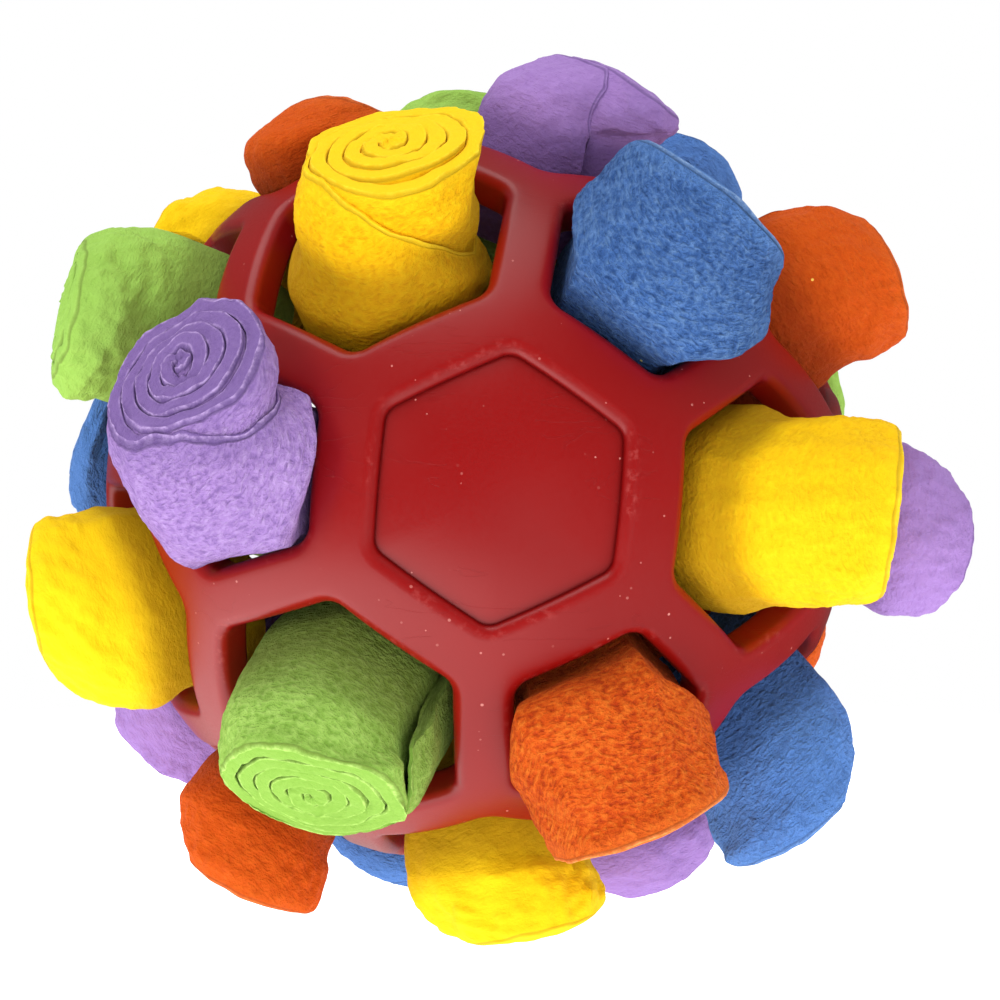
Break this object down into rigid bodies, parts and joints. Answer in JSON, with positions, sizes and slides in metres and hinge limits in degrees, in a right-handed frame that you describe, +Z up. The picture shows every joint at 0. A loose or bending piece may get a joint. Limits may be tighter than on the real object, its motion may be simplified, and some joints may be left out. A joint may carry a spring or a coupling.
{
  "type": "snuffle ball",
  "caption": "Hollow rubber lattice ball with hexagon and pentagon holes, each stuffed with a rolled strip of coloured fleece that pulls out, for a dog to nose treats from.",
  "frame": {"origin": "under the middle of the whole object's box, on the surface that the ball rests on", "axes": "+Z up, -Y out of the front closed panel, +X to the right as seen from the front"},
  "size_m": [0.1392, 0.1226, 0.132],
  "materials": {
    "rubber_red": "satin-matte moulded rubber",
    "fleece_yellow": "nubby polar fleece",
    "fleece_blue": "nubby polar fleece",
    "fleece_orange": "nubby polar fleece",
    "fleece_green": "nubby polar fleece",
    "fleece_purple": "nubby polar fleece"
  },
  "bodies": {
    "rubber_ball": {"rubber_ball": "rubber_red"},
    "front_roll_1_blue": {"front_roll_1_blue": "fleece_blue"},
    "front_roll_2_yellow": {"front_roll_2_yellow": "fleece_yellow"},
    "front_roll_3_orange": {"front_roll_3_orange": "fleece_orange"},
    "front_roll_4_green": {"front_roll_4_green": "fleece_green"},
    "front_roll_5_purple": {"front_roll_5_purple": "fleece_purple"},
    "front_roll_6_yellow": {"front_roll_6_yellow": "fleece_yellow"},
    "fore_roll_1_purple": {"fore_roll_1_purple": "fleece_purple"},
    "fore_roll_2_orange": {"fore_roll_2_orange": "fleece_orange"},
    "fore_roll_3_purple": {"fore_roll_3_purple": "fleece_purple"},
    "fore_roll_4_blue": {"fore_roll_4_blue": "fleece_blue"},
    "fore_roll_5_yellow": {"fore_roll_5_yellow": "fleece_yellow"},
    "fore_roll_6_orange": {"fore_roll_6_orange": "fleece_orange"},
    "fore_roll_7_yellow": {"fore_roll_7_yellow": "fleece_yellow"},
    "fore_roll_8_green": {"fore_roll_8_green": "fleece_green"},
    "fore_roll_9_orange": {"fore_roll_9_orange": "fleece_orange"},
    "aft_roll_1_blue": {"aft_roll_1_blue": "fleece_blue"},
    "aft_roll_2_green": {"aft_roll_2_green": "fleece_green"},
    "aft_roll_3_orange": {"aft_roll_3_orange": "fleece_orange"},
    "aft_roll_4_purple": {"aft_roll_4_purple": "fleece_purple"},
    "aft_roll_5_blue": {"aft_roll_5_blue": "fleece_blue"},
    "aft_roll_6_purple": {"aft_roll_6_purple": "fleece_purple"},
    "aft_roll_7_blue": {"aft_roll_7_blue": "fleece_blue"},
    "aft_roll_8_yellow": {"aft_roll_8_yellow": "fleece_yellow"},
    "aft_roll_9_green": {"aft_roll_9_green": "fleece_green"},
    "back_roll_1_yellow": {"back_roll_1_yellow": "fleece_yellow"},
    "back_roll_2_blue": {"back_roll_2_blue": "fleece_blue"},
    "back_roll_3_green": {"back_roll_3_green": "fleece_green"},
    "back_roll_4_orange": {"back_roll_4_orange": "fleece_orange"},
    "back_roll_5_green": {"back_roll_5_green": "fleece_green"},
    "back_roll_6_purple": {"back_roll_6_purple": "fleece_purple"}
  },
  "joints": [
    {"name": "front_roll_1_blue_pull", "type": "slide", "parent": "rubber_ball", "child": "front_roll_1_blue", "axis": [0.3482, -0.7947, 0.4973], "range_m": [0, 0.018]},
    {"name": "front_roll_2_yellow_pull", "type": "slide", "parent": "rubber_ball", "child": "front_roll_2_yellow", "axis": [0.6641, -0.7454, -0.0581], "range_m": [0, 0.018]},
    {"name": "front_roll_3_orange_pull", "type": "slide", "parent": "rubber_ball", "child": "front_roll_3_orange", "axis": [0.2566, -0.7947, -0.5502], "range_m": [0, 0.018]},
    {"name": "front_roll_4_green_pull", "type": "slide", "parent": "rubber_ball", "child": "front_roll_4_green", "axis": [-0.3824, -0.7454, -0.5461], "range_m": [0, 0.018]},
    {"name": "front_roll_5_purple_pull", "type": "slide", "parent": "rubber_ball", "child": "front_roll_5_purple", "axis": [-0.6048, -0.7947, 0.0529], "range_m": [0, 0.018]},
    {"name": "front_roll_6_yellow_pull", "type": "slide", "parent": "rubber_ball", "child": "front_roll_6_yellow", "axis": [-0.2817, -0.7454, 0.6042], "range_m": [0, 0.018]},
    {"name": "fore_roll_1_purple_pull", "type": "slide", "parent": "rubber_ball", "child": "fore_roll_1_purple", "axis": [0.2083, -0.3333, 0.9195], "range_m": [0, 0.018]},
    {"name": "fore_roll_2_orange_pull", "type": "slide", "parent": "rubber_ball", "child": "fore_roll_2_orange", "axis": [0.7928, -0.3333, 0.5102], "range_m": [0, 0.018]},
    {"name": "fore_roll_3_purple_pull", "type": "slide", "parent": "rubber_ball", "child": "fore_roll_3_purple", "axis": [0.9785, -0.1876, -0.0856], "range_m": [0, 0.018]},
    {"name": "fore_roll_4_blue_pull", "type": "slide", "parent": "rubber_ball", "child": "fore_roll_4_blue", "axis": [0.6922, -0.3333, -0.6401], "range_m": [0, 0.018]},
    {"name": "fore_roll_5_yellow_pull", "type": "slide", "parent": "rubber_ball", "child": "fore_roll_5_yellow", "axis": [0.0454, -0.3333, -0.9417], "range_m": [0, 0.018]},
    {"name": "fore_roll_6_orange_pull", "type": "slide", "parent": "rubber_ball", "child": "fore_roll_6_orange", "axis": [-0.5634, -0.1876, -0.8046], "range_m": [0, 0.018]},
    {"name": "fore_roll_7_yellow_pull", "type": "slide", "parent": "rubber_ball", "child": "fore_roll_7_yellow", "axis": [-0.9005, -0.3333, -0.2794], "range_m": [0, 0.018]},
    {"name": "fore_roll_8_green_pull", "type": "slide", "parent": "rubber_ball", "child": "fore_roll_8_green", "axis": [-0.8383, -0.3333, 0.4315], "range_m": [0, 0.018]},
    {"name": "fore_roll_9_orange_pull", "type": "slide", "parent": "rubber_ball", "child": "fore_roll_9_orange", "axis": [-0.4151, -0.1876, 0.8902], "range_m": [0, 0.018]},
    {"name": "aft_roll_1_blue_pull", "type": "slide", "parent": "rubber_ball", "child": "aft_roll_1_blue", "axis": [0.5634, 0.1876, 0.8046], "range_m": [0, 0.018]},
    {"name": "aft_roll_2_green_pull", "type": "slide", "parent": "rubber_ball", "child": "aft_roll_2_green", "axis": [0.9005, 0.3333, 0.2794], "range_m": [0, 0.018]},
    {"name": "aft_roll_3_orange_pull", "type": "slide", "parent": "rubber_ball", "child": "aft_roll_3_orange", "axis": [0.8383, 0.3333, -0.4315], "range_m": [0, 0.018]},
    {"name": "aft_roll_4_purple_pull", "type": "slide", "parent": "rubber_ball", "child": "aft_roll_4_purple", "axis": [0.4151, 0.1876, -0.8902], "range_m": [0, 0.018]},
    {"name": "aft_roll_5_blue_pull", "type": "slide", "parent": "rubber_ball", "child": "aft_roll_5_blue", "axis": [-0.2083, 0.3333, -0.9195], "range_m": [0, 0.018]},
    {"name": "aft_roll_6_purple_pull", "type": "slide", "parent": "rubber_ball", "child": "aft_roll_6_purple", "axis": [-0.7928, 0.3333, -0.5102], "range_m": [0, 0.018]},
    {"name": "aft_roll_7_blue_pull", "type": "slide", "parent": "rubber_ball", "child": "aft_roll_7_blue", "axis": [-0.9785, 0.1876, 0.0856], "range_m": [0, 0.018]},
    {"name": "aft_roll_8_yellow_pull", "type": "slide", "parent": "rubber_ball", "child": "aft_roll_8_yellow", "axis": [-0.6922, 0.3333, 0.6401], "range_m": [0, 0.018]},
    {"name": "aft_roll_9_green_pull", "type": "slide", "parent": "rubber_ball", "child": "aft_roll_9_green", "axis": [-0.0454, 0.3333, 0.9417], "range_m": [0, 0.018]},
    {"name": "back_roll_1_yellow_pull", "type": "slide", "parent": "rubber_ball", "child": "back_roll_1_yellow", "axis": [0.3824, 0.7454, 0.5461], "range_m": [0, 0.018]},
    {"name": "back_roll_2_blue_pull", "type": "slide", "parent": "rubber_ball", "child": "back_roll_2_blue", "axis": [0.6048, 0.7947, -0.0529], "range_m": [0, 0.018]},
    {"name": "back_roll_3_green_pull", "type": "slide", "parent": "rubber_ball", "child": "back_roll_3_green", "axis": [0.2817, 0.7454, -0.6042], "range_m": [0, 0.018]},
    {"name": "back_roll_4_orange_pull", "type": "slide", "parent": "rubber_ball", "child": "back_roll_4_orange", "axis": [-0.3482, 0.7947, -0.4973], "range_m": [0, 0.018]},
    {"name": "back_roll_5_green_pull", "type": "slide", "parent": "rubber_ball", "child": "back_roll_5_green", "axis": [-0.6641, 0.7454, 0.0581], "range_m": [0, 0.018]},
    {"name": "back_roll_6_purple_pull", "type": "slide", "parent": "rubber_ball", "child": "back_roll_6_purple", "axis": [-0.2566, 0.7947, 0.5502], "range_m": [0, 0.018]}
  ]
}
